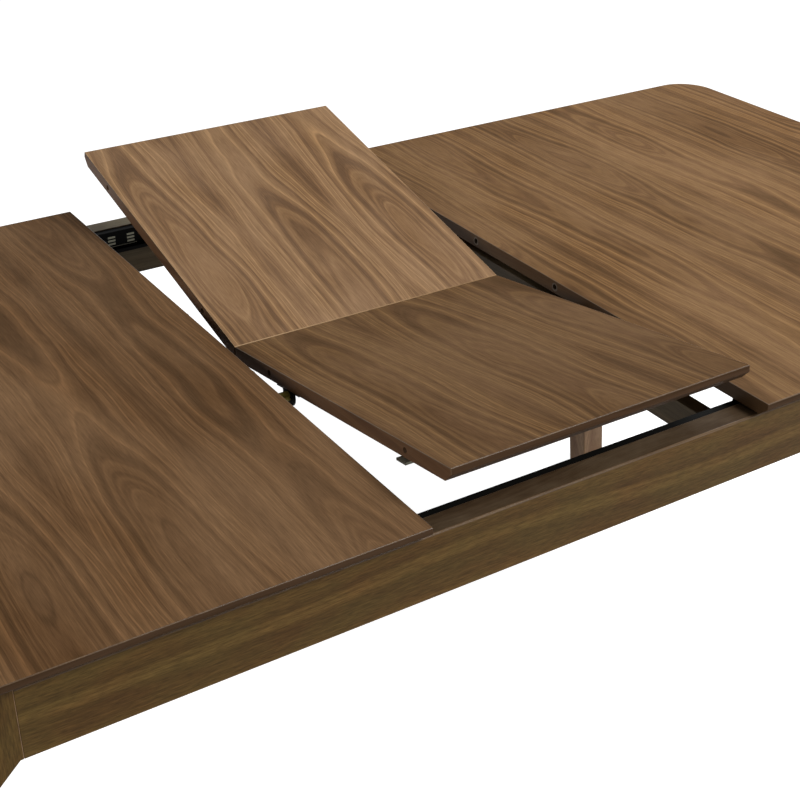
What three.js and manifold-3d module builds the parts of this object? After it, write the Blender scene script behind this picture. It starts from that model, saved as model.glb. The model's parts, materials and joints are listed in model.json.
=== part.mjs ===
// Extendable dining table with a folding butterfly leaf.
// The two halves of the top are drawn fully apart, and the leaf is part way down between them.
// Millimetres, +Z up. The origin is on the floor under the middle of the table,
// +X runs along the table and +Y across it.
import * as THREE from "three";
import { mergeVertices } from "three/addons/utils/BufferGeometryUtils.js";
import Module from "manifold-3d";

const wasm = await Module();
wasm.setup();

// Top and leaf
const tableWidth = 965;
const tableHeight = 762;
const halfTopLength = 761;
const topThickness = 18;
const cornerRadius = 60;
const noseHeight = 8;
const undercutWidth = 12;
const leafWidth = 403;
const leafEndInset = 3;
const drawClearance = 26.5;
const foldGap = 0.6;
const foldAxisRise = 0.5;
const nearLeafTilt = THREE.MathUtils.degToRad(9);
const farLeafTilt = THREE.MathUtils.degToRad(13.5);

// Frame
const apronInset = 15;
const apronDrop = 2.5;
const apronHeight = 80;
const apronThickness = 30;
const apronArris = 1.5;
const endApronThickness = 28;
const endApronSetback = 3;
const frameLength = 1476;
const crossRailThickness = 22;
const crossRailHeight = 39;
const crossRailClearance = 24;
const crossRailTopGap = 6;
const crossRailCrown = 620;
const crossRailStep = 18;
const braceReach = 60;
const braceHeight = 46;

// Legs
const legBlock = 86;
const legSplay = 65;
const shoulderStep = 3.5;
const shoulderRun = 22;
const shoulderHeight = 62;
const shaftWidth = 51;
const footWidth = 46;
const glideRadius = 13;
const glideHeight = 4;

// Ball-bearing slides
const slideHeight = 35;
const slideDepth = 11;
const slideDrop = 1.5;
const slideSteel = 1.5;
const slideLip = 4;
const fixedRailLength = 1000;
const memberLength = 357;
const memberSetback = 5;
const memberHeight = 20;
const memberDepth = 8.8;
const memberProud = 1;
const cageLength = 300;
const cageSteel = 0.8;
const cageReach = 7;
const cageClearance = 0.4;
const ballRadius = 2.6;
const ballsPerRow = 10;
const angleSteel = 2;
const angleFlange = 22;
const angleDrop = 34;

// Leaf pivots, folding hinges and fittings
const pivotFromFold = 134;
const pivotDepth = 26;
const pinRadius = 4;
const pinCollarRadius = 6.5;
const pinHeadRadius = 5.6;
const pinHeadThickness = 2.4;
const notchGap = 1;
const runningGap = 0.35;
const earThickness = 3;
const earSetback = 1;
const earRadius = 13;
const earLength = 55;
const earFlange = 36;
const supportThickness = 3;
const supportBase = 60;
const supportTopGap = 1.5;
const supportTopWidth = 22;
const restLength = 50;
const restReach = 38;
const restSteel = 3;
const restPlace = 175;
const restGap = 1;
const hingeRadius = 7;
const hingeDepth = 11;
const hingeSpacing = 240;
const dowelSpacing = 182;
const dowelRadius = 3.5;
const dowelReach = 6;
const dowelSeat = 14;
const socketRadius = 6;
const catchFromFold = 395;
const catchLength = 26;
const catchWidth = 18;
const catchThickness = 3;
const battenWidth = 60;
const battenThickness = 20;
const battenFromSplit = 290;
const battenEndGap = 40;
const seat = 0.3;

// Places worked out from the sizes above
const halfWidth = tableWidth / 2;
const leafHalf = leafWidth / 2;
const splitX = leafHalf + drawClearance;
const leafReach = halfWidth - leafEndInset;
const undersideZ = tableHeight - topThickness;
const apronTopZ = undersideZ - apronDrop;
const apronBottomZ = apronTopZ - apronHeight;
const apronOuterY = halfWidth - apronInset;
const apronInnerY = apronOuterY - apronThickness;
const legOuterX = frameLength / 2;
const legInnerX = legOuterX - legBlock;
const legInnerY = apronOuterY - legBlock;
const endApronOuterX = legOuterX - endApronSetback;
const endApronInnerX = endApronOuterX - endApronThickness;
const crossRailX = leafHalf + crossRailClearance;
const slideZ = apronTopZ - slideDrop - slideHeight / 2;
const memberStartX = splitX + memberSetback;
const memberFace = slideDepth + memberProud;
const pivotZ = tableHeight - pivotDepth;
const halfDowels = dowelSpacing / 2;
const dowelDepth = topThickness / 2;

const roundSides = 16;
const cornerSides = 10;

const walnut = new THREE.MeshStandardMaterial({ color: 0x7d6046, roughness: 0.5, metalness: 0 });
const stainedWood = new THREE.MeshStandardMaterial({ color: 0x5e4a31, roughness: 0.55, metalness: 0 });
const plainWood = new THREE.MeshStandardMaterial({ color: 0x6b5a45, roughness: 0.7, metalness: 0 });
const blackSteel = new THREE.MeshStandardMaterial({ color: 0x1c1c1c, roughness: 0.4, metalness: 0.7 });
const zincSteel = new THREE.MeshStandardMaterial({ color: 0xb9b8a8, roughness: 0.35, metalness: 0.9 });
const brass = new THREE.MeshStandardMaterial({ color: 0xb08d4a, roughness: 0.35, metalness: 0.9 });
const blackPlastic = new THREE.MeshStandardMaterial({ color: 0x202020, roughness: 0.6, metalness: 0 });

const axisX = new THREE.Vector3(1, 0, 0);
const axisY = new THREE.Vector3(0, 1, 0);
const axisZ = new THREE.Vector3(0, 0, 1);

function polygon(points) {
  return new THREE.Shape(points.map(([a, b]) => new THREE.Vector2(a, b)));
}

function prismAlongZ(shape, length, curveSegments = cornerSides) {
  return new THREE.ExtrudeGeometry(shape, { depth: length, bevelEnabled: false, curveSegments });
}

// A section drawn in Y and Z, run along +X from x = 0.
function prismAlongX(section, length) {
  const basis = new THREE.Matrix4().makeBasis(axisY, axisZ, axisX);
  return prismAlongZ(section, length).applyMatrix4(basis);
}

// A section drawn in X and Z, run across the table and centred on y = 0.
function prismAlongY(section, length) {
  const basis = new THREE.Matrix4().makeBasis(axisX, axisZ, axisY.clone().negate());
  return prismAlongZ(section, length).applyMatrix4(basis).translate(0, length / 2, 0);
}

function rodAlongX(radius, from, to) {
  const rod = new THREE.CylinderGeometry(radius, radius, to - from, roundSides);
  return rod.rotateZ(Math.PI / 2).translate((from + to) / 2, 0, 0);
}

function rodAlongY(radius, from, to) {
  const rod = new THREE.CylinderGeometry(radius, radius, to - from, roundSides);
  return rod.translate(0, (from + to) / 2, 0);
}

function solidOf(geometry) {
  const bare = new THREE.BufferGeometry();
  bare.setAttribute("position", geometry.getAttribute("position"));
  bare.setIndex(geometry.getIndex());
  const merged = mergeVertices(bare, 1e-4);
  const vertProperties = Float32Array.from(merged.getAttribute("position").array);
  const triVerts = Uint32Array.from(merged.getIndex().array);
  return new wasm.Manifold(new wasm.Mesh({ numProp: 3, vertProperties, triVerts }));
}

function geometryOf(solid) {
  const mesh = solid.getMesh();
  const geometry = new THREE.BufferGeometry();
  geometry.setAttribute("position", new THREE.BufferAttribute(mesh.vertProperties, 3));
  geometry.setIndex(new THREE.BufferAttribute(mesh.triVerts, 1));
  geometry.computeVertexNormals();
  return geometry;
}

function cut(geometry, ...tools) {
  return geometryOf(tools.reduce((solid, tool) => solid.subtract(solidOf(tool)), solidOf(geometry)));
}

function join(geometry, ...others) {
  return geometryOf(others.reduce((solid, other) => solid.add(solidOf(other)), solidOf(geometry)));
}

function common(first, second) {
  return geometryOf(solidOf(first).intersect(solidOf(second)));
}

function place(parent, name, geometry, material, x = 0, y = 0, z = 0) {
  const mesh = new THREE.Mesh(geometry, material);
  mesh.name = name;
  mesh.position.set(x, y, z);
  parent.add(mesh);
  return mesh;
}

// One half of the top. Its split edge is square and stands at x = 0; the other three edges have
// a thin nose over a sloping undercut. The top face is at z = 0. side is -1 for the left half.
function topPanelGeometry(side) {
  const r = cornerRadius;
  const outline = new THREE.Shape();
  outline.moveTo(-2 * r, -halfWidth);
  outline.lineTo(halfTopLength - r, -halfWidth);
  outline.absarc(halfTopLength - r, -halfWidth + r, r, -Math.PI / 2, 0, false);
  outline.absarc(halfTopLength - r, halfWidth - r, r, 0, Math.PI / 2, false);
  outline.lineTo(-2 * r, halfWidth);
  const undercutHeight = topThickness - noseHeight;
  const blank = new THREE.ExtrudeGeometry(outline, {
    depth: noseHeight,
    bevelEnabled: true,
    bevelThickness: undercutHeight,
    bevelSize: undercutWidth,
    bevelOffset: -undercutWidth,
    bevelSegments: 1,
    curveSegments: cornerSides,
  });
  blank.translate(0, 0, -noseHeight);
  const keep = new THREE.BoxGeometry(halfTopLength + r, tableWidth + r, topThickness + r);
  keep.translate((halfTopLength + r) / 2, 0, -(topThickness + r) / 2);
  const panel = common(blank, keep);
  return side > 0 ? panel : panel.rotateZ(Math.PI);
}

// Section of one leaf half, from the fold at y = 0 to its undercut outer edge.
function leafSection(direction) {
  const outer = direction * leafReach;
  const edge = direction * foldGap / 2;
  return polygon([
    [edge, 0],
    [edge, -topThickness],
    [outer - direction * undercutWidth, -topThickness],
    [outer, -noseHeight],
    [outer, 0],
  ]);
}

function leafPanelGeometry(direction) {
  const blank = prismAlongX(leafSection(direction), leafWidth).translate(-leafHalf, 0, 0);
  const bores = [-1, 1].map((side) => {
    const bore = rodAlongY(hingeRadius + seat, -hingeDepth - seat, hingeDepth + seat);
    return bore.translate(side * hingeSpacing / 2, 0, -dowelDepth);
  });
  const leftHoles = [halfDowels, catchFromFold].map((fromFold) => {
    const hole = rodAlongX(dowelRadius + runningGap, -leafHalf - seat, -leafHalf + dowelSeat);
    return hole.translate(0, direction * fromFold, -dowelDepth);
  });
  const pinHole = rodAlongX(dowelRadius + seat, leafHalf - dowelSeat - seat, leafHalf + seat);
  pinHole.translate(0, direction * halfDowels, -dowelDepth);
  return cut(blank, ...bores, ...leftHoles, pinHole);
}

function dowelGeometry() {
  const profile = [
    [0, -dowelSeat],
    [dowelRadius, -dowelSeat],
    [dowelRadius, dowelReach - dowelRadius / 2],
    [dowelRadius / 2, dowelReach],
    [0, dowelReach],
  ];
  return new THREE.LatheGeometry(profile.map(([r, x]) => new THREE.Vector2(r, x)), roundSides)
    .rotateZ(-Math.PI / 2);
}

function socketGeometry() {
  const inner = dowelRadius + runningGap;
  const profile = [
    [inner, -dowelSeat],
    [socketRadius, -dowelSeat],
    [socketRadius, 0],
    [inner, 0],
    [inner, -dowelSeat],
  ];
  return new THREE.LatheGeometry(profile.map(([r, x]) => new THREE.Vector2(r, x)), roundSides)
    .rotateZ(Math.PI / 2);
}

// Leg outline seen from one side: a is the distance outwards from the block's outer top edge.
function legOutline(splay, sign) {
  const bottom = glideHeight;
  const shoulderZ = apronBottomZ - shoulderHeight;
  const outerAt = (z) => splay * (apronTopZ - z) / (apronTopZ - bottom);
  const blockInner = -legBlock;
  const slopeStart = blockInner + shoulderStep;
  const slopeEnd = slopeStart + shoulderRun;
  const shaftInner = outerAt(shoulderZ) - shaftWidth;
  const outline = new THREE.Shape();
  outline.moveTo(0, apronTopZ);
  outline.lineTo(sign * blockInner, apronTopZ);
  outline.lineTo(sign * blockInner, apronBottomZ);
  outline.lineTo(sign * slopeStart, apronBottomZ);
  outline.lineTo(sign * slopeEnd, apronBottomZ - shoulderRun);
  outline.quadraticCurveTo(
    sign * shaftInner,
    apronBottomZ - shoulderRun - (shaftInner - slopeEnd),
    sign * shaftInner,
    shoulderZ,
  );
  outline.lineTo(sign * (outerAt(bottom) - footWidth), bottom);
  outline.lineTo(sign * outerAt(bottom), bottom);
  return outline;
}

function legGeometry(sideX, sideY) {
  const wide = 3 * legBlock + 2 * legSplay;
  const alongX = prismAlongY(legOutline(legSplay, sideX), wide);
  const alongY = prismAlongX(legOutline(0, sideY), wide).translate(-wide / 2, 0, 0);
  return common(alongX, alongY);
}

function footCentre() {
  return { x: legOuterX + legSplay - footWidth / 2, y: apronOuterY - footWidth / 2 };
}

// Apron section: y is measured outwards from the inner face, z up from the bottom edge.
function apronSection(thickness, sign) {
  return polygon([
    [0, 0],
    [sign * thickness, 0],
    [sign * thickness, apronHeight - apronArris],
    [sign * (thickness - apronArris), apronHeight],
    [0, apronHeight],
  ]);
}

// Corner brace in plan, fitted round the inner corner of the leg's block.
function braceGeometry(sideX, sideY) {
  const g = seat;
  const plan = [
    [legInnerX - braceReach, apronInnerY - g],
    [legInnerX - g, apronInnerY - g],
    [legInnerX - g, legInnerY - g],
    [endApronInnerX - g, legInnerY - g],
    [endApronInnerX - g, legInnerY - braceReach],
  ];
  const shape = polygon(plan.map(([x, y]) => [sideX * x, sideY * y]));
  return prismAlongZ(shape, braceHeight);
}

// Slide sections: u is the distance from the apron's inner face, w the height from the middle.
function fixedRailSection(sign) {
  const h = slideHeight / 2;
  const t = slideSteel;
  const points = [
    [0, -h],
    [slideDepth, -h],
    [slideDepth, -h + slideLip + t],
    [slideDepth - t, -h + slideLip + t],
    [slideDepth - t, -h + t],
    [t, -h + t],
  ];
  return mirroredSection(points, sign);
}

function memberSection(sign) {
  const h = memberHeight / 2;
  const t = slideSteel;
  const back = memberFace - memberDepth;
  const points = [
    [memberFace, -h],
    [back, -h],
    [back, -h + t],
    [memberFace - t, -h + t],
  ];
  return mirroredSection(points, sign);
}

function cageSection(sign) {
  const rowW = ballRow();
  const t = cageSteel;
  const back = slideSteel + cageClearance;
  const points = [
    [back, -rowW - t / 2],
    [back + cageReach, -rowW - t / 2],
    [back + cageReach, -rowW + t / 2],
    [back + t, -rowW + t / 2],
  ];
  return mirroredSection(points, sign);
}

// Closes a lower half section with its reflection above the middle line.
function mirroredSection(points, sign) {
  const upper = points.map(([u, w]) => [u, -w]).reverse();
  return polygon([...points, ...upper].map(([u, w]) => [sign * u, w]));
}

// Height of a row of balls from the slide's middle, half way between the two steel flanges.
function ballRow() {
  return (memberHeight / 2 + slideHeight / 2 - slideSteel) / 2;
}

function cageGeometry(sign) {
  const strip = prismAlongX(cageSection(sign), cageLength);
  const u = sign * (slideSteel + cageClearance + cageReach - ballRadius);
  const pitch = cageLength / ballsPerRow;
  const balls = [];
  for (let i = 0; i < ballsPerRow; i += 1) {
    for (const row of [-1, 1]) {
      const ball = new THREE.SphereGeometry(ballRadius, 8, 6);
      balls.push(ball.translate(pitch * (i + 0.5), u, row * ballRow()));
    }
  }
  return join(strip, ...balls);
}

// Steel angle that hangs from a half of the top and carries its slide member.
function angleSection(sign) {
  const points = [
    [0, 0],
    [0, -angleDrop],
    [angleSteel, -angleDrop],
    [angleSteel, -angleSteel],
    [angleSteel + angleFlange, -angleSteel],
    [angleSteel + angleFlange, 0],
  ];
  return polygon(points.map(([u, z]) => [sign * u, z]));
}

// Pivot bracket under the near half of the leaf, drawn round the pivot axis at y = z = 0.
function pivotEarGeometry(side) {
  const top = pivotDepth - topThickness;
  const outline = new THREE.Shape();
  outline.moveTo(-earRadius, top);
  outline.lineTo(-earRadius, 0);
  outline.absarc(0, 0, earRadius, Math.PI, 2 * Math.PI, false);
  outline.lineTo(earRadius, top);
  const ear = prismAlongX(outline, earThickness).translate(-earThickness / 2, 0, 0);
  const flange = new THREE.BoxGeometry(earFlange, earLength, angleSteel);
  flange.translate(-side * (earFlange - earThickness) / 2, 0, top - angleSteel / 2);
  return cut(join(ear, flange), rodAlongX(pinRadius + runningGap, -earThickness, earThickness));
}

// Support plate on the cross rail, drawn round the pivot axis at y = z = 0.
function supportGeometry() {
  const top = pivotDepth - topThickness - supportTopGap;
  const railTop = apronBottomZ + crossRailHeight - pivotZ;
  const railBottom = apronBottomZ - pivotZ;
  const outline = polygon([
    [-supportBase / 2, railBottom],
    [supportBase / 2, railBottom],
    [supportBase / 2, railTop],
    [supportTopWidth / 2, 0],
    [supportTopWidth / 4, top],
    [-supportTopWidth / 4, top],
    [-supportTopWidth / 2, 0],
    [-supportBase / 2, railTop],
  ]);
  const plate = prismAlongX(outline, supportThickness).translate(-supportThickness / 2, 0, 0);
  const hole = rodAlongX(pinRadius + runningGap, -supportThickness, supportThickness);
  return cut(plate, hole);
}

// Pivot pin with a head at each end and a collar between the ear and the support plate.
// It starts at the ear's inner face, x = 0, and runs outwards along +X.
function pivotPinGeometry() {
  const collarFrom = earThickness + seat;
  const plateFrom = crossRailX - supportThickness - (leafHalf - earSetback - earThickness);
  const collarTo = plateFrom - seat;
  const headFrom = plateFrom + supportThickness + seat;
  const profile = [
    [0, -seat - pinHeadThickness],
    [pinHeadRadius, -seat - pinHeadThickness],
    [pinHeadRadius, -seat],
    [pinRadius, -seat],
    [pinRadius, collarFrom],
    [pinCollarRadius, collarFrom],
    [pinCollarRadius, collarTo],
    [pinRadius, collarTo],
    [pinRadius, headFrom],
    [pinHeadRadius, headFrom],
    [pinHeadRadius, headFrom + pinHeadThickness],
    [0, headFrom + pinHeadThickness],
  ];
  return new THREE.LatheGeometry(profile.map(([r, x]) => new THREE.Vector2(r, x)), roundSides)
    .rotateZ(-Math.PI / 2);
}

// Cross rail, tall in the middle and low at its ends, where the slides pass over it.
// The notch clears the outer head of the pivot pin.
function crossRailGeometry(side) {
  const top = undersideZ - crossRailTopGap - apronBottomZ;
  const crown = crossRailCrown / 2;
  const outline = polygon([
    [-apronInnerY, 0],
    [apronInnerY, 0],
    [apronInnerY, crossRailHeight],
    [crown + crossRailStep, crossRailHeight],
    [crown, top],
    [-crown, top],
    [-crown - crossRailStep, crossRailHeight],
    [-apronInnerY, crossRailHeight],
  ]);
  const board = prismAlongX(outline, crossRailThickness).translate(-crossRailThickness / 2, 0, 0);
  const notchDepth = pinHeadThickness + 2 * seat + runningGap;
  const inner = -side * crossRailThickness / 2;
  const notchEnd = inner + side * notchDepth;
  const notch = rodAlongX(
    pinHeadRadius + notchGap,
    Math.min(inner - side, notchEnd),
    Math.max(inner - side, notchEnd),
  );
  notch.translate(0, -pivotFromFold, pivotZ - apronBottomZ);
  return cut(board, notch);
}

function addFrame(table) {
  for (const [word, sign] of [["near", -1], ["far", 1]]) {
    const apron = prismAlongX(apronSection(apronThickness, sign), 2 * legInnerX);
    place(table, `${word}_apron`, apron, stainedWood, -legInnerX, sign * apronInnerY, apronBottomZ);
    const rail = prismAlongX(fixedRailSection(-sign), fixedRailLength);
    const railX = -fixedRailLength / 2;
    place(table, `${word}_fixed_rail`, rail, blackSteel, railX, sign * apronInnerY, slideZ);
  }
  for (const [word, sign] of [["left", -1], ["right", 1]]) {
    const section = apronSection(endApronThickness, sign);
    const endApron = prismAlongY(section, 2 * legInnerY);
    place(table, `${word}_end_apron`, endApron, stainedWood, sign * endApronInnerX, 0, apronBottomZ);
    const railX = sign * (crossRailX + crossRailThickness / 2);
    place(table, `${word}_cross_rail`, crossRailGeometry(sign), plainWood, railX, 0, apronBottomZ);
    addPivotSupport(table, word, sign);
    addLeafRest(table, word, sign);
    addCorners(table, word, sign);
  }
}

function addPivotSupport(table, word, side) {
  const pivotY = -pivotFromFold;
  const plateX = side * (crossRailX - supportThickness / 2);
  place(table, `${word}_pivot_support`, supportGeometry(), blackSteel, plateX, pivotY, pivotZ);
  const pinX = side * (leafHalf - earSetback - earThickness);
  const pin = place(table, `${word}_pivot_pin`, pivotPinGeometry(), brass, pinX, pivotY, pivotZ);
  pin.rotation.z = side > 0 ? 0 : Math.PI;
}

// Steel ledge on a cross rail, on which the folded leaf lies when it is stowed.
function addLeafRest(table, word, side) {
  const ledgeZ = pivotZ - pivotDepth - topThickness - 2 * foldAxisRise - restGap;
  const points = [
    [0, apronBottomZ],
    [0, ledgeZ],
    [-restReach, ledgeZ],
    [-restReach, ledgeZ - restSteel],
    [-restSteel, ledgeZ - restSteel],
    [-restSteel, apronBottomZ],
  ];
  const section = polygon(points.map(([x, z]) => [side * x, z]));
  const ledge = prismAlongY(section, restLength);
  place(table, `${word}_leaf_rest`, ledge, blackSteel, side * crossRailX, restPlace, 0);
}

function addCorners(table, word, sideX) {
  for (const [depthWord, sideY] of [["near", -1], ["far", 1]]) {
    const name = `${depthWord}_${word}`;
    const leg = legGeometry(sideX, sideY);
    place(table, `${name}_leg`, leg, stainedWood, sideX * legOuterX, sideY * apronOuterY, 0);
    const brace = braceGeometry(sideX, sideY);
    const braceZ = apronBottomZ + (apronHeight - braceHeight) / 2;
    place(table, `${name}_corner_brace`, brace, plainWood, 0, 0, braceZ);
    const foot = footCentre();
    const glide = new THREE.CylinderGeometry(glideRadius, glideRadius - 1, glideHeight, roundSides);
    glide.rotateX(Math.PI / 2);
    place(table, `${name}_glide`, glide, blackPlastic, sideX * foot.x, sideY * foot.y, glideHeight / 2);
  }
}

// Everything that slides with one half of the top, in a group that stands at its split edge.
function addHalfTop(table, word, side) {
  const half = new THREE.Group();
  half.position.set(side * splitX, 0, tableHeight);
  table.add(half);
  const bores = [-1, 1].map((row) => {
    const radius = side < 0 ? dowelRadius : socketRadius;
    const bore = rodAlongX(radius + seat, -dowelSeat - seat, dowelSeat + seat);
    return bore.translate(0, row * halfDowels, -dowelDepth);
  });
  place(half, `${word}_top`, cut(topPanelGeometry(side), ...bores), walnut);
  for (const [rowWord, row] of [["near", -1], ["far", 1]]) {
    const name = side < 0 ? `left_${rowWord}_dowel` : `right_${rowWord}_socket`;
    const fitting = side < 0 ? dowelGeometry() : socketGeometry();
    place(half, name, fitting, brass, 0, row * halfDowels, -dowelDepth);
  }
  const battenWide = 2 * (apronInnerY - battenEndGap);
  const batten = new THREE.BoxGeometry(battenWidth, battenWide, battenThickness);
  const battenX = side * (battenFromSplit + battenWidth / 2);
  place(half, `${word}_batten`, batten, plainWood, battenX, 0, -topThickness - battenThickness / 2);
  for (const [rowWord, row] of [["near", -1], ["far", 1]]) {
    const startX = side > 0 ? memberSetback : -memberSetback - memberLength;
    const apronY = row * apronInnerY;
    const member = prismAlongX(memberSection(-row), memberLength);
    place(half, `${word}_${rowWord}_slide_member`, member, blackSteel, startX, apronY, slideZ - tableHeight);
    const angle = prismAlongX(angleSection(-row), memberLength);
    const angleY = apronY - row * memberFace;
    place(half, `${word}_${rowWord}_slide_angle`, angle, blackSteel, startX, angleY, -topThickness);
  }
}

// Ball cages run at half the speed of the top, so with it fully drawn they trail towards the middle.
function addCages(table, word, side) {
  const travelled = splitX;
  const closedStart = memberStartX - travelled + (memberLength - cageLength) / 2;
  const start = closedStart + travelled / 2;
  const x = side > 0 ? start : -start - cageLength;
  for (const [rowWord, row] of [["near", -1], ["far", 1]]) {
    const cage = cageGeometry(-row);
    place(table, `${word}_${rowWord}_ball_cage`, cage, blackSteel, x, row * apronInnerY, slideZ);
  }
}

function addLeaf(table) {
  const nearLeaf = new THREE.Group();
  nearLeaf.position.set(0, -pivotFromFold, pivotZ);
  nearLeaf.rotation.x = -nearLeafTilt;
  table.add(nearLeaf);
  const foldLine = new THREE.Group();
  foldLine.position.set(0, pivotFromFold, pivotDepth);
  nearLeaf.add(foldLine);
  place(foldLine, "near_leaf", leafPanelGeometry(-1), walnut);
  for (const [word, side] of [["left", -1], ["right", 1]]) {
    const x = side * (leafHalf - earSetback - earThickness / 2);
    place(nearLeaf, `${word}_pivot_ear`, pivotEarGeometry(side), blackSteel, x, 0, 0);
  }
  const plate = new THREE.BoxGeometry(catchLength, catchWidth, catchThickness);
  const plateX = -leafHalf + catchLength / 2 - dowelReach;
  place(foldLine, "leaf_catch", plate, zincSteel, plateX, -catchFromFold, -topThickness - catchThickness / 2);
  addLeafFittings(foldLine, "near", -1);

  const farLeaf = new THREE.Group();
  farLeaf.position.set(0, 0, foldAxisRise);
  farLeaf.rotation.x = nearLeafTilt + farLeafTilt;
  foldLine.add(farLeaf);
  place(farLeaf, "far_leaf", leafPanelGeometry(1), walnut, 0, 0, -foldAxisRise);
  addLeafFittings(farLeaf, "far", 1, -foldAxisRise);
}

// Concealed hinge halves in the fold edge, and the dowel in the right-hand edge.
function addLeafFittings(leaf, word, direction, z = 0) {
  for (const [sideWord, side] of [["left", -1], ["right", 1]]) {
    const inner = direction * foldGap / 2;
    const outer = direction * hingeDepth;
    const cup = rodAlongY(hingeRadius, Math.min(inner, outer), Math.max(inner, outer));
    place(leaf, `${word}_${sideWord}_hinge`, cup, blackSteel, side * hingeSpacing / 2, 0, z - dowelDepth);
  }
  place(leaf, `${word}_leaf_dowel`, dowelGeometry(), brass, leafHalf, direction * halfDowels, z - dowelDepth);
}

const table = new THREE.Group();
addFrame(table);
for (const [word, side] of [["left", -1], ["right", 1]]) {
  addHalfTop(table, word, side);
  addCages(table, word, side);
}
addLeaf(table);

export default table;
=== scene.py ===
import json
import math

import bmesh
import bpy
from mathutils import Matrix, Vector


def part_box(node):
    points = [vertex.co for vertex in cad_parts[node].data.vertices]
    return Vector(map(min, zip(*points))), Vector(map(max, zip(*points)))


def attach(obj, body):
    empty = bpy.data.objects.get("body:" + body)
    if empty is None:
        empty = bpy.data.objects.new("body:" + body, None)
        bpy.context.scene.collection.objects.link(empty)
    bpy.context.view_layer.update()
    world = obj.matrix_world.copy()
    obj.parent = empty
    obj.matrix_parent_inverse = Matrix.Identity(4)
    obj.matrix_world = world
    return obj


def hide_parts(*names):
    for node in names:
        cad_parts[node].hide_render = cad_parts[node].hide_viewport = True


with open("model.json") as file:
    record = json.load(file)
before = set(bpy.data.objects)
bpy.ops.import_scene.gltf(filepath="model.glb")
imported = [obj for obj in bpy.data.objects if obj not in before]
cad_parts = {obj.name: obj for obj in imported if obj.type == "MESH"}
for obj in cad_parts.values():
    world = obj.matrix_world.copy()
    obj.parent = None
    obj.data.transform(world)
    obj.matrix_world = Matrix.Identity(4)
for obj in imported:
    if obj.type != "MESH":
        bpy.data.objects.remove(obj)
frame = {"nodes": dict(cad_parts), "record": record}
scene = bpy.context.scene
nodes = frame["nodes"]
groups = frame["record"]["behaviour"]["bodies"]
bodyOf = {node: body for body, members in groups.items() for node in members}
slotOf = {row["node"]: row["material_slot"] for row in frame["record"]["subparts"]}
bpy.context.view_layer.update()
mm = 0.001


camera = {
    "place": (-0.88445, -1.44358, 1.56905),
    "yaw": 32.688,  # degrees from +Y towards +X
    "pitch": 29.664,  # degrees below the horizon
    "roll": 0.23,
    "lens": 64.551,
    "sensor": 36,
    "clip": (0.05, 60),
}


def addCamera():
    data = bpy.data.cameras.new("tableCamera")
    data.sensor_width = camera["sensor"]
    data.lens = camera["lens"]
    data.clip_start, data.clip_end = camera["clip"]
    item = bpy.data.objects.new("tableCamera", data)
    yaw, pitch = math.radians(camera["yaw"]), math.radians(camera["pitch"])
    look = Vector((
        math.sin(yaw) * math.cos(pitch),
        math.cos(yaw) * math.cos(pitch),
        -math.sin(pitch),
    ))
    turn = look.to_track_quat("-Z", "Y").to_matrix()
    roll = Matrix.Rotation(math.radians(-camera["roll"]), 3, look)
    item.matrix_world = Matrix.Translation(camera["place"]) @ (roll @ turn).to_4x4()
    scene.collection.objects.link(item)
    scene.camera = item


def hexColour(text):
    parts = [int(text[i:i + 2], 16) / 255 for i in (1, 3, 5)]
    linear = [c / 12.92 if c <= 0.04045 else ((c + 0.055) / 1.055) ** 2.4 for c in parts]
    return (*linear, 1)


def addNode(tree, kind, inputs=None, **settings):
    node = tree.nodes.new(kind)
    for key, value in settings.items():
        setattr(node, key, value)
    for key, value in (inputs or {}).items():
        if isinstance(value, bpy.types.NodeSocket):
            tree.links.new(value, node.inputs[key])
        else:
            node.inputs[key].default_value = value
    return node


def newMaterial(name):
    material = bpy.data.materials.new(name)
    material.use_nodes = True
    material.node_tree.nodes.clear()
    return material, material.node_tree


def finishMaterial(tree, inputs):
    shader = addNode(tree, "ShaderNodeBsdfPrincipled", inputs)
    addNode(tree, "ShaderNodeOutputMaterial", {"Surface": shader.outputs[0]})


def fillRamp(ramp, stops):
    elements = ramp.color_ramp.elements
    while len(elements) < len(stops):
        elements.new(0.5)
    for element, (place, colour) in zip(elements, stops):
        element.position = place
        element.color = hexColour(colour)


walnut = {
    "stops": ((0.36, "#58432e"), (0.45, "#654c35"), (0.55, "#73593d"), (0.67, "#8a6b4a")),
    "tints": ("#ddd6cc", "#ffffff"),  # slow patches where the heartwood was darker or lighter
    "tone": 1.0,
    "patch": 140 * mm,
    "strip": 152 * mm,  # width of the leaves of veneer laid side by side
    "slip": 0.34,  # metres by which the figure moves on from one strip to the next
    "uneven": 0.06,  # how far the strips differ in depth of colour
    "pith": 44 * mm,  # how far under the face the middle of the log lay
    "rise": 12 * mm,  # how far that depth swings, which opens and closes the arches
    "reach": 0.8,  # metres of board over which it swings
    "waver": 9 * mm,
    "ringsPerMetre": 52,
    "figure": (0.5, 1.45),  # contrast of the rings, from quiet wood to lively
    "poreWidth": 1.2 * mm,  # a few pores run together: single ones would be too fine to see
    "poreLength": 30 * mm,
    "poreDepth": 0.22,
    "roughness": (0.4, 0.52),
    "bump": 0.15,
    "specular": 0.006,  # a matt lacquer, with hardly any sheen at a low angle
    "thick": 0.0,  # veneer has the same figure all through
}
calmWalnut = dict(walnut, patch=190 * mm, tints=("#cdc4b8", "#ffffff"), stops=(
    (0.36, "#5d4732"), (0.45, "#684f38"), (0.55, "#74593f"), (0.67, "#876749"),
))
# The far leaf's sheet: greyer stops, a painted sheen on the leaf tilted towards the light.
paintedSheenWalnut = dict(walnut, stops=(
    (0.36, "#574434"), (0.45, "#644e3a"), (0.55, "#715a43"), (0.67, "#886d50"),
))
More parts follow.
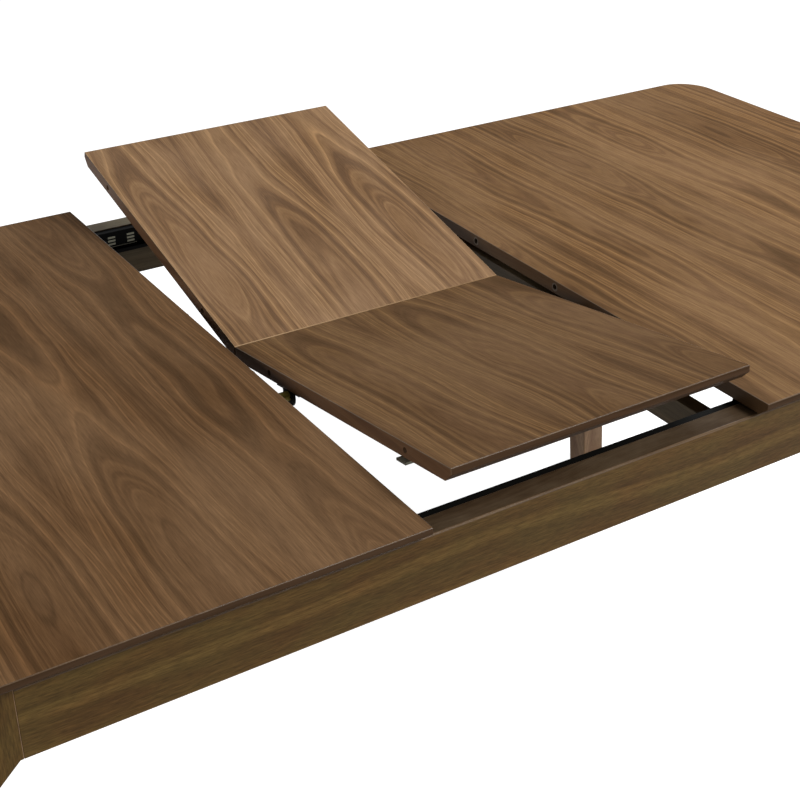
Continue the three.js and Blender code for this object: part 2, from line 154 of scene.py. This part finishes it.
stained = {
    "stops": ((0.33, "#3f2e16"), (0.44, "#45341a"), (0.55, "#4c3a1e"), (0.67, "#554224")),
    "tints": ("#efe2d4", "#eef0e0"),  # reddish where the stain is thin, olive where it soaked in
    "tone": 1.18,
    "patch": 34 * mm,
    "strip": 0.0,  # planed from one board
    "pith": 60 * mm,
    "rise": 12 * mm,
    "reach": 0.5,
    "waver": 6 * mm,
    "ringsPerMetre": 40,
    "figure": (0.7, 1.2),
    "poreWidth": 1.2 * mm,
    "poreLength": 13 * mm,
    "poreDepth": 0.34,
    "roughness": (0.46, 0.6),
    "bump": 0.15,
    "specular": 0.08,
    "thick": 1.0,
}
paleStained = dict(stained, poreDepth=0.2, tints=("#e4dad0", "#ffffff"), stops=(
    (0.33, "#66503f"), (0.44, "#6d5745"), (0.55, "#755f4b"), (0.67, "#7f6852"),
))
plain = dict(stained, specular=0.1, poreDepth=0.12, tints=("#efe6dc", "#ffffff"), stops=(
    (0.30, "#362e22"), (0.44, "#413829"), (0.56, "#4b4131"), (0.70, "#574c3b"),
))
splitEdge = dict(walnut, strip=0.0, thick=1.0, rise=8 * mm, poreDepth=0.08, specular=0.06, stops=(
    (0.30, "#4b3526"), (0.44, "#533c2b"), (0.56, "#59412e"), (0.70, "#614834"),
))
# The outside lipping: darker, partly painted shade on the undercut that faces down.
outerEdge = dict(splitEdge, specular=0.02, stops=(
    (0.30, "#352618"), (0.44, "#3b2b1d"), (0.56, "#413022"), (0.70, "#483628"),
))
# The right half's split edge: darker still, painted shade under the leaf.
paintedShadeEdge = dict(splitEdge, stops=(
    (0.30, "#412f1d"), (0.44, "#463321"), (0.56, "#4c3825"), (0.70, "#533e2a"),
))
glossed = dict(splitEdge, specular=0.17, roughness=(0.24, 0.34), stops=(
    (0.30, "#4b3a28"), (0.44, "#534130"), (0.56, "#594632"), (0.70, "#614e3a"),
))
# Paler wood for the arris along the fold: a painted highlight.
paintedFoldHighlight = dict(splitEdge, stops=(
    (0.30, "#8d7355"), (0.44, "#957a5b"), (0.56, "#9c8161"), (0.70, "#a48968"),
))
# Rail tops greyed as a painted sheen of the pale backdrop.
paintedSheenTopFace = dict(plain, specular=0.04, patch=45 * mm, tints=("#c4b8aa", "#ffffff"), stops=(
    (0.30, "#382d22"), (0.44, "#403427"), (0.56, "#473b2d"), (0.70, "#4f4133"),
))
# The far rail's top: paler for painted light where the tops shade it, greyer for a painted sheen.
paintedLightAndSheenFace = dict(paintedSheenTopFace, specular=0.15, stops=(
    (0.30, "#887e66"), (0.44, "#90866d"), (0.56, "#978d73"), (0.70, "#9e947a"),
))
grainTurn = {"x": (0, 0, math.pi / 2), "y": (0, 0, 0), "z": (math.pi / 2, 0, 0)}
growth = {
    "bends": (9, 2.6, 9),  # bends of a ring per metre: across, along and into the board
    "throw": 4,  # a noise seldom leaves its middle quarter, so the waver is taken this many times
    "middle": 0.5,  # the mean of a noise, which stays put when the contrast changes
    "swingSpan": (0.25, 0.75),  # the parts of a noise's range that count as all of it
    "mottleSpan": (0.36, 0.64),
    "poreSpan": (0.3, 0.7),
    "patchDraw": 0.4,  # patches are drawn out along the grain by one over this
    "poreDip": 0.15 * mm,
}


# Wood as a log gives it: growth rings round a pith, cut by the face, with pores drawn out
# along the grain.
def makeWood(name, look, grain, shift=(0, 0, 0)):
    material, tree = newMaterial(name)
    coords = addNode(tree, "ShaderNodeTexCoord").outputs["Object"]
    turned = addNode(tree, "ShaderNodeMapping", {
        "Vector": coords, "Rotation": grainTurn[grain], "Location": shift,
        "Scale": (1, 1, look["thick"]),
    }).outputs[0]
    split = addNode(tree, "ShaderNodeSeparateXYZ", {"Vector": turned})
    across, along, through = split.outputs
    if look["strip"]:
        place = addNode(tree, "ShaderNodeMath", {
            0: across, 1: look["strip"],
        }, operation="DIVIDE").outputs[0]
        index = addNode(tree, "ShaderNodeMath", {0: place}, operation="FLOOR").outputs[0]
        part = addNode(tree, "ShaderNodeMath", {0: place}, operation="FRACT").outputs[0]
        across = addNode(tree, "ShaderNodeMath", {
            0: part, 1: look["strip"], 2: -look["strip"] / 2,
        }, operation="MULTIPLY_ADD").outputs[0]
        chance = addNode(tree, "ShaderNodeTexWhiteNoise", {
            "W": index,
        }, noise_dimensions="1D").outputs["Value"]
        along = addNode(tree, "ShaderNodeMath", {
            0: chance, 1: look["slip"], 2: along,
        }, operation="MULTIPLY_ADD").outputs[0]
    swing = addNode(tree, "ShaderNodeTexNoise", {
        "W": along, "Scale": 1 / look["reach"], "Detail": 1.5, "Roughness": 0.4,
    }, noise_dimensions="1D").outputs[0]
    depth = addNode(tree, "ShaderNodeMapRange", {
        "Value": swing,
        "From Min": growth["swingSpan"][0], "From Max": growth["swingSpan"][1],
        "To Min": look["pith"] - look["rise"], "To Max": look["pith"] + look["rise"],
    }).outputs[0]
    below = addNode(tree, "ShaderNodeMath", {0: depth, 1: through}, operation="ADD").outputs[0]
    fromPith = addNode(tree, "ShaderNodeCombineXYZ", {"X": across, "Y": below}).outputs[0]
    radius = addNode(tree, "ShaderNodeVectorMath", {
        0: fromPith,
    }, operation="LENGTH").outputs["Value"]
    bent = addNode(tree, "ShaderNodeMapping", {
        "Vector": turned, "Scale": growth["bends"],
    }).outputs[0]
    bend = addNode(tree, "ShaderNodeTexNoise", {
        "Vector": bent, "Scale": 1.0, "Detail": 2.0, "Roughness": 0.45,
    }).outputs[0]
    ringPlace = addNode(tree, "ShaderNodeMath", {
        0: bend, 1: look["waver"] * growth["throw"], 2: radius,
    }, operation="MULTIPLY_ADD").outputs[0]
    rings = addNode(tree, "ShaderNodeTexNoise", {
        "W": ringPlace, "Scale": look["ringsPerMetre"], "Detail": 5.0, "Roughness": 0.78,
    }, noise_dimensions="1D").outputs[0]
    patches = addNode(tree, "ShaderNodeMapping", {
        "Vector": turned,
        "Scale": (1 / look["patch"], growth["patchDraw"] / look["patch"], 1 / look["patch"]),
    }).outputs[0]
    mottle = addNode(tree, "ShaderNodeTexNoise", {
        "Vector": patches, "Scale": 1.0, "Detail": 3.0, "Roughness": 0.6,
    }).outputs[0]
    mottleLow, mottleHigh = growth["mottleSpan"]
    quiet, lively = look["figure"]
    contrast = addNode(tree, "ShaderNodeMapRange", {
        "Value": mottle, "From Min": mottleLow, "From Max": mottleHigh,
        "To Min": lively, "To Max": quiet,
    }).outputs[0]
    offset = addNode(tree, "ShaderNodeMath", {
        0: contrast, 1: -growth["middle"], 2: growth["middle"],
    }, operation="MULTIPLY_ADD").outputs[0]
    figure = addNode(tree, "ShaderNodeMath", {
        0: rings, 1: contrast, 2: offset,
    }, operation="MULTIPLY_ADD").outputs[0]
    ramp = addNode(tree, "ShaderNodeValToRGB", {"Fac": figure})
    fillRamp(ramp, look["stops"])
    stretched = addNode(tree, "ShaderNodeMapping", {
        "Vector": turned,
        "Scale": (1 / look["poreWidth"], 1 / look["poreLength"], 1 / look["poreWidth"]),
    }).outputs[0]
    pores = addNode(tree, "ShaderNodeTexNoise", {
        "Vector": stretched, "Scale": 1.0, "Detail": 3.0, "Roughness": 0.6,
    }).outputs[0]
    tone, pore = look["tone"], look["poreDepth"]
    depthOfColour = addNode(tree, "ShaderNodeMapRange", {
        "Value": pores,
        "From Min": growth["poreSpan"][0], "From Max": growth["poreSpan"][1],
        "To Min": tone * (1 - pore), "To Max": tone * (1 + pore),
    }).outputs[0]
    if look["strip"]:
        stripTone = addNode(tree, "ShaderNodeMapRange", {
            "Value": chance, "To Min": 1 + look["uneven"], "To Max": 1 - look["uneven"],
        }).outputs[0]
        depthOfColour = addNode(tree, "ShaderNodeMath", {
            0: depthOfColour, 1: stripTone,
        }, operation="MULTIPLY").outputs[0]
    tint = addNode(tree, "ShaderNodeValToRGB", {"Fac": mottle})
    fillRamp(tint, tuple(zip(growth["mottleSpan"], look["tints"])))
    tinted = addNode(tree, "ShaderNodeVectorMath", {
        0: ramp.outputs[0], 1: tint.outputs[0],
    }, operation="MULTIPLY").outputs[0]
    colour = addNode(tree, "ShaderNodeVectorMath", {
        0: tinted, "Scale": depthOfColour,
    }, operation="SCALE").outputs[0]
    low, high = look["roughness"]
    rough = addNode(tree, "ShaderNodeMapRange", {
        "Value": pores, "To Min": high, "To Max": low,
    }).outputs[0]
    bump = addNode(tree, "ShaderNodeBump", {
        "Height": pores, "Strength": look["bump"], "Distance": growth["poreDip"],
    }).outputs[0]
    finishMaterial(tree, {
        "Base Color": colour, "Roughness": rough, "Normal": bump, "IOR": 1.5,
        "Specular IOR Level": look["specular"],
    })
    return material


coat = {
    "shades": (0.82, 1.15),  # darkest and palest of its grain, times the colour
    "unevenGloss": 0.1,
    "bump": 0.15,
    "dip": 0.05 * mm,
}


# Metals and plastic: a fine grain in the coat or plating, with slightly uneven gloss.
def makeFinish(name, colour, metallic, roughness, grain, specular=0.5):
    material, tree = newMaterial(name)
    coords = addNode(tree, "ShaderNodeTexCoord").outputs["Object"]
    speckle = addNode(tree, "ShaderNodeTexNoise", {
        "Vector": coords, "Scale": 1 / grain, "Detail": 3.0, "Roughness": 0.6,
    }).outputs[0]
    tone = addNode(tree, "ShaderNodeMapRange", {
        "Value": speckle, "To Min": coat["shades"][0], "To Max": coat["shades"][1],
    }).outputs[0]
    shade = addNode(tree, "ShaderNodeVectorMath", {
        0: hexColour(colour)[:3], "Scale": tone,
    }, operation="SCALE").outputs[0]
    rough = addNode(tree, "ShaderNodeMapRange", {
        "Value": speckle,
        "To Min": roughness - coat["unevenGloss"], "To Max": roughness + coat["unevenGloss"],
    }).outputs[0]
    bump = addNode(tree, "ShaderNodeBump", {
        "Height": speckle, "Strength": coat["bump"], "Distance": coat["dip"],
    }).outputs[0]
    finishMaterial(tree, {
        "Base Color": shade, "Roughness": rough, "Normal": bump, "Metallic": metallic,
        "Specular IOR Level": specular,
    })
    return material


# Walnut veneer, sliced and matt lacquered: arches and straight grain under a very soft sheen.
# Each sheet has its own place in the log and its own depth of colour, partly real and partly
# painted light: the right half and far leaf lighter and the left half and near leaf darker stand
# in for the light that falls on each; the far leaf's greyer colour is a painted sheen.
sheets = {
    "left_top": ("walnutVeneerLeft", calmWalnut, 0.9, (0.37, 0.21, 0.0)),
    "right_top": ("walnutVeneerRight", walnut, 1.2, (2.13, 1.4, 0.0)),
    "near_leaf": ("walnutVeneerNearLeaf", walnut, 0.95, (4.61, 3.2, 0.0)),
    "far_leaf": ("walnutVeneerFarLeaf", paintedSheenWalnut, 1.53, (6.92, 5.5, 0.0)),
}
veneers = {
    node: makeWood(name, dict(look, tone=tone), "y", shift)
    for node, (name, look, tone, shift) in sheets.items()
}
# Walnut lipping, stained to match: plain brown where the halves meet. Darker outside, partly real
# stain and partly painted shade on the undercut that faces down; darker on the right half's split
# edge as painted shade where the leaf shades it.
edgeWood = {
    "split": makeWood("stainedWalnutSplitEdge", splitEdge, "y"),
    "dim": makeWood("walnutEdgePaintedShade", paintedShadeEdge, "y"),
    "outer": makeWood("stainedWalnutOuterEdge", outerEdge, "x"),
}
# Arrises where the lacquer drew up thick over the stain: a thin line that is dark, or bright
# where it meets a lamp.
glossedWood = makeWood("lacqueredArris", glossed, "y")
# Arris along the fold, in paler wood: a painted highlight along the fold line.
paintedHighlightWood = makeWood("walnutArrisPaintedHighlight", paintedFoldHighlight, "x")
# Top faces of the rails, stained but not polished: grey brown, the grey a painted sheen of the
# pale backdrop.
topWood = {axis: makeWood(f"unpolishedHardwood{axis.upper()}", paintedSheenTopFace, axis) for axis in "xy"}
# The far rail's top face, paler and greyer: painted light where the tops above shade it, and a
# painted sheen of the pale backdrop at a low angle.
paintedLightAndSheenWood = makeWood("hardwoodPaintedLightAndSheen", paintedLightAndSheenFace, "x")
# Stained hardwood, planed: olive brown, blotchy where the stain soaked in.
railWood = {axis: makeWood(f"stainedHardwood{axis.upper()}", stained, axis) for axis in "xyz"}
# A leg cut from a paler plank, which took less stain.
paleLegWood = makeWood("paleStainedHardwood", paleStained, "z")
# Upright arrises of the legs, sanded through the stain.
wornWood = makeWood("sandedHardwoodArris", dict(paleStained, tone=1.1), "z")
# Stained hardwood inside the frame, unpolished and greyer.
innerWood = {axis: makeWood(f"plainHardwood{axis.upper()}", plain, axis) for axis in "xy"}
# Steel with a black electrophoretic coat: deep black with a faint gloss.
blackSteel = makeFinish("blackCoatedSteel", "#0c0c0b", 0.0, 0.45, 0.7 * mm, 0.02)
# Zinc plate, bright dipped: pale with a soft spangle.
zincSteel = makeFinish("zincPlatedSteel", "#8f8e82", 1.0, 0.36, 1.5 * mm)
# Zinc plate gone dull with oil: grey with little shine.
dullZinc = makeFinish("oiledZincPlate", "#5d5b50", 1.0, 0.5, 1.5 * mm)
# Turned brass that has tarnished: a dull olive yellow.
brass = makeFinish("tarnishedBrass", "#514720", 1.0, 0.5, 0.8 * mm)
# Turned brass that took the wood stain when the edge was finished: a dull brown ring.
stainedBrass = makeFinish("stainedBrass", "#46382a", 0.6, 0.56, 0.8 * mm)
# Moulded polyethylene, matt black.
blackPlastic = makeFinish("mouldedPolyethylene", "#1d1d1d", 0.0, 0.6, 0.9 * mm)
print("materials made")


arris = {
    "panel": 0.9 * mm,
    "frame": 0.7 * mm,
    "segments": 2,
    "sharpAngle": 24,
    "shortest": 3 * mm,  # shorter edges belong to rounded corners and stay as they are
    "merge": 0.01 * mm,
    "flatAngle": 0.5,
    "level": 0.95,  # a face whose normal rises or falls this much is a top or an underside
    "lean": 0.1,  # an arris whose normal rises less than this is upright
    "boardShade": 50,  # degrees past which a board's faces aren't shaded as one
    "hardwareShade": 35,
}


def faceWord(normal):
    x, y, z = normal
    if abs(z) > arris["level"]:
        return "up" if z > 0 else "down"
    if abs(x) > abs(y):
        return "right" if x > 0 else "left"
    return "far" if y > 0 else "near"


# A merged copy of a wooden node with its arrises eased. The looks give a material for each way
# a face can look, for the upper arrises, for the upper arris on the near side, and for the
# upright ones.
def easeWood(node, name, looks, width):
    source = nodes[node]
    mesh = bpy.data.meshes.new(name)
    materials = list(dict.fromkeys(looks.values()))
    work = bmesh.new()
    work.from_mesh(source.data)
    bmesh.ops.remove_doubles(work, verts=work.verts, dist=arris["merge"])
    bmesh.ops.dissolve_limit(
        work, angle_limit=math.radians(arris["flatAngle"]), verts=work.verts, edges=work.edges,
    )
    sharp = [
        edge for edge in work.edges
        if edge.is_manifold and edge.calc_face_angle(0) > math.radians(arris["sharpAngle"])
        and edge.calc_length() > arris["shortest"]
    ]
    eased = bmesh.ops.bevel(
        work, geom=sharp, offset=width, segments=arris["segments"], affect="EDGES",
        profile=0.5, material=-1, clamp_overlap=False,
    )["faces"]
    for face in work.faces:
        face.material_index = materials.index(looks[faceWord(face.normal)])
        face.smooth = True
    for face in eased:
        if face.normal.z > arris["lean"]:
            word = "nearArris" if face.normal.y < -arris["lean"] else "arris"
            face.material_index = materials.index(looks[word])
        elif face.normal.z > -arris["lean"] and "uprightArris" in looks:
            face.material_index = materials.index(looks["uprightArris"])
    work.to_mesh(mesh)
    work.free()
    for material in materials:
        mesh.materials.append(material)
    mesh.set_sharp_from_angle(angle=math.radians(arris["boardShade"]))
    piece = bpy.data.objects.new(name, mesh)
    # Boards stay flat right up to their arrises.
    piece.modifiers.new("flatFaces", "WEIGHTED_NORMAL").keep_sharp = True
    scene.collection.objects.link(piece)
    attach(piece, bodyOf[node])
    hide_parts(node)


def boardLooks(top, sides, arrises):
    looks = dict.fromkeys(("left", "right", "near", "far", "down"), sides)
    return dict(looks, up=top, arris=arrises, nearArris=arrises)


for node, veneer in veneers.items():
    looks = boardLooks(veneer, edgeWood["outer"], glossedWood)
    looks.update(down=veneer, left=edgeWood["split"], right=edgeWood["split"])
    # The right half's split edge takes the darker edge: painted shade under the leaf.
    if node == "right_top":
        looks.update(left=edgeWood["dim"])
    # The far leaf's arris along the fold in paler wood: a painted highlight.
    if node == "far_leaf":
        looks.update(nearArris=paintedHighlightWood)
    easeWood(node, f"{node}_panel", looks, arris["panel"])
for row, inward in (("near", "far"), ("far", "near")):
    # The far rail's top takes the paler face: painted light and painted sheen.
    looks = boardLooks(topWood["x"] if row == "near" else paintedLightAndSheenWood, railWood["x"], glossedWood)
    looks[inward] = innerWood["x"]
    easeWood(f"{row}_apron", f"{row}_apron_board", looks, arris["frame"])
    for side in ("left", "right"):
        pale = (row, side) == ("far", "right")
        post, upright = (paleLegWood, railWood["z"]) if pale else (railWood["z"], wornWood)
        looks = dict(boardLooks(post, post, glossedWood), uprightArris=upright)
        easeWood(f"{row}_{side}_leg", f"{row}_{side}_leg_post", looks, arris["frame"])
for side, inward in (("left", "right"), ("right", "left")):
    looks = boardLooks(topWood["y"], railWood["y"], glossedWood)
    looks[inward] = innerWood["y"]
    easeWood(f"{side}_end_apron", f"{side}_end_apron_board", looks, arris["frame"])
    for word in ("cross_rail", "batten"):
        looks = boardLooks(innerWood["y"], innerWood["y"], innerWood["y"])
        easeWood(f"{side}_{word}", f"{side}_{word}_board", looks, arris["frame"])
print("wood eased")

slotMaterial = {
    "rail_wood": innerWood["x"],
    "stained_wood": railWood["x"],
    "black_steel": blackSteel,
    "zinc_steel": zincSteel,
    "brass": brass,
    "black_plastic": blackPlastic,
}
oddMaterial = {
    "right_near_socket": stainedBrass,
    "right_far_socket": stainedBrass,
    "leaf_catch": dullZinc,
}
for name, item in nodes.items():
    if item.hide_render:
        continue
    item.data.materials.clear()
    item.data.materials.append(oddMaterial.get(name, slotMaterial[slotOf[name]]))
    item.data.set_sharp_from_angle(angle=math.radians(arris["hardwareShade"]))
print("hardware finished")


screw = {
    "radius": 3.6 * mm,
    "crown": 0.72,  # the top of the head, as a part of its foot
    "rise": 0.9 * mm,
    "recess": 1.1 * mm,  # width of the rim round the recess
    "wall": 0.2 * mm,
    "sink": 0.6,  # depth of the recess, as a part of the rise
    "sides": 20,
    "restInset": 3 * mm,  # how far in from the rest's outer side its screws stand
    "restHeight": 9 * mm,
    "supportHeight": 12 * mm,
    "flangeDepth": 2 * mm,
    "perBracket": 2,
    "perAngle": 4,
}


# Pan-head screws with a round recess, joined in one piece. Each stands on its place and points
# along its facing.
def addScrews(name, body, material, places):
    work = bmesh.new()
    for place, facing in places:
        turn = Vector(facing).to_track_quat("Z", "Y").to_matrix().to_4x4()
        made = bmesh.ops.create_cone(
            work, cap_ends=True, segments=screw["sides"], radius1=screw["radius"],
            radius2=screw["radius"] * screw["crown"], depth=screw["rise"],
            matrix=Matrix.Translation(place) @ turn
            @ Matrix.Translation((0, 0, screw["rise"] / 2)),
        )
        top = max(
            {face for vert in made["verts"] for face in vert.link_faces},
            key=lambda face: (face.calc_center_median() - Vector(place)).dot(Vector(facing)),
        )
        bmesh.ops.inset_individual(work, faces=[top], thickness=screw["recess"], depth=0)
        bmesh.ops.inset_individual(
            work, faces=[top], thickness=screw["wall"], depth=-screw["rise"] * screw["sink"],
        )
    mesh = bpy.data.meshes.new(name)
    work.to_mesh(mesh)
    work.free()
    mesh.materials.append(material)
    piece = bpy.data.objects.new(name, mesh)
    scene.collection.objects.link(piece)
    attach(piece, body)


def spread(low, high, count):
    return [low + (high - low) * (i + 0.5) / count for i in range(count)]


for side, sign in (("left", -1), ("right", 1)):
    low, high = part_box(f"{side}_leaf_rest")
    wall = (high[0] if sign > 0 else low[0]) - sign * screw["restInset"]
    addScrews(f"{side}_rest_screws", "frame", zincSteel, [
        ((wall, y, low[2] + screw["restHeight"]), (-sign, 0, 0))
        for y in spread(low[1], high[1], screw["perBracket"])
    ])
    low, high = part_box(f"{side}_pivot_support")
    face = low[0] if sign > 0 else high[0]
    addScrews(f"{side}_support_screws", "frame", zincSteel, [
        ((face, y, low[2] + screw["supportHeight"]), (-sign, 0, 0))
        for y in spread(low[1], high[1], screw["perBracket"])
    ])
    for row in ("near", "far"):
        low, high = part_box(f"{side}_{row}_slide_angle")
        flange = (low[1] + high[1]) / 2
        addScrews(f"{side}_{row}_angle_screws", f"{side}_half", zincSteel, [
            ((x, flange, high[2] - screw["flangeDepth"]), (0, 0, -1))
            for x in spread(low[0], high[0], screw["perAngle"])
        ])
print("screws placed")


spring = {
    "fromEnd": 9 * mm,
    "pitch": 30 * mm,
    "count": 8,
    "size": (11.5 * mm, 0.3 * mm, 2.9 * mm),
    "rows": (-5.2 * mm, 0, 5.2 * mm),
    "rib": (0.3 * mm, 1.1 * mm),  # two ribs pressed along the cage, above and below the springs
    "ribRows": (-9.6 * mm, 9.6 * mm),
    "behind": 0.95 * mm,  # depth of their middle behind the cage's face
}


# Zinc-plated leaf springs that hold the balls apart, riveted in threes along a ball cage between
# two ribs.
def addSprings(side, sign, row, face):
    node = f"{side}_{row}_ball_cage"
    low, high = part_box(node)
    end = low[0] if sign > 0 else high[0]
    front = (high[1] if face > 0 else low[1]) - face * spring["behind"]
    middle = (low[2] + high[2]) / 2
    starts = [
        end + sign * (spring["fromEnd"] + i * spring["pitch"]) for i in range(spring["count"])
    ]
    blocks = [
        ((x, front, middle + rise), spring["size"]) for x in starts for rise in spring["rows"]
    ]
    centre, long = (low[0] + high[0]) / 2, high[0] - low[0]
    blocks += [
        ((centre, front, middle + rise), (long, *spring["rib"])) for rise in spring["ribRows"]
    ]
    work = bmesh.new()
    for place, size in blocks:
        bmesh.ops.create_cube(
            work, size=1, matrix=Matrix.Translation(place) @ Matrix.Diagonal((*size, 1)),
        )
    mesh = bpy.data.meshes.new(f"{node}_springs")
    work.to_mesh(mesh)
    work.free()
    mesh.materials.append(dullZinc)
    piece = bpy.data.objects.new(f"{node}_springs", mesh)
    scene.collection.objects.link(piece)
    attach(piece, f"{side}_cages")


for side, sign in (("left", -1), ("right", 1)):
    for row, face in (("near", -1), ("far", 1)):
        addSprings(side, sign, row, face)
print("cage springs placed")


light = {
    "world": 0.14,
    "floorSize": 14,  # metres from the middle to each side
    "floorColour": "#bcbcbc",  # a paler floor would light the undersides too much
    "floorRoughness": 0.9,
    "floorGlow": 0.87,  # what the floor adds of its own, for the camera and for reflections
    "lamps": {  # place, aim, side of the square, watts
        "overheadSoftbox": ((1.7, 0.4, 2.3), (0.7, 0.0, 0.7), 1.4, 17),
        "keySoftbox": ((2.6, -4.4, 5.1), (0.0, 0.0, 0.7), 2.2, 540),
        "sideSoftbox": ((-2.7, -0.3, 1.4), (0.0, 0.0, 0.6), 1.5, 42),
    },
}


def addFloor():
    material, tree = newMaterial("paleStudioFloor")
    rays = addNode(tree, "ShaderNodeLightPath")
    seen = addNode(tree, "ShaderNodeMath", {
        0: rays.outputs["Is Camera Ray"], 1: rays.outputs["Is Glossy Ray"],
    }, operation="MAXIMUM").outputs[0]
    glow = addNode(tree, "ShaderNodeMath", {
        0: seen, 1: light["floorGlow"],
    }, operation="MULTIPLY").outputs[0]
    finishMaterial(tree, {
        "Base Color": hexColour(light["floorColour"]), "Roughness": light["floorRoughness"],
        "Specular IOR Level": 0.0, "Emission Color": (1, 1, 1, 1), "Emission Strength": glow,
    })
    work = bmesh.new()
    bmesh.ops.create_grid(work, x_segments=1, y_segments=1, size=light["floorSize"])
    mesh = bpy.data.meshes.new("studioFloor")
    work.to_mesh(mesh)
    work.free()
    mesh.materials.append(material)
    floor = bpy.data.objects.new("studioFloor", mesh)
    scene.collection.objects.link(floor)


def addWorld():
    world = bpy.data.worlds.new("studioWorld")
    world.use_nodes = True
    tree = world.node_tree
    tree.nodes.clear()
    rays = addNode(tree, "ShaderNodeLightPath")
    seen = addNode(tree, "ShaderNodeMath", {
        0: rays.outputs["Is Camera Ray"], 1: rays.outputs["Is Glossy Ray"],
    }, operation="MAXIMUM").outputs[0]
    seen = addNode(tree, "ShaderNodeMath", {
        0: seen, 1: rays.outputs["Is Transmission Ray"],
    }, operation="MAXIMUM").outputs[0]
    strength = addNode(tree, "ShaderNodeMapRange", {
        "Value": seen, "To Min": light["world"], "To Max": 1.0,
    }).outputs[0]
    background = addNode(tree, "ShaderNodeBackground", {
        "Color": (1, 1, 1, 1), "Strength": strength,
    })
    addNode(tree, "ShaderNodeOutputWorld", {"Surface": background.outputs[0]})
    scene.world = world


def addLamps():
    for name, (place, target, size, power) in light["lamps"].items():
        data = bpy.data.lights.new(name, "AREA")
        data.shape = "SQUARE"
        data.size = size
        data.energy = power
        item = bpy.data.objects.new(name, data)
        aim = (Vector(target) - Vector(place)).to_track_quat("-Z", "Y").to_matrix().to_4x4()
        item.matrix_world = Matrix.Translation(place) @ aim
        scene.collection.objects.link(item)


addFloor()
addWorld()
addLamps()
addCamera()
scene.view_settings.view_transform = "Standard"
print("studio set")
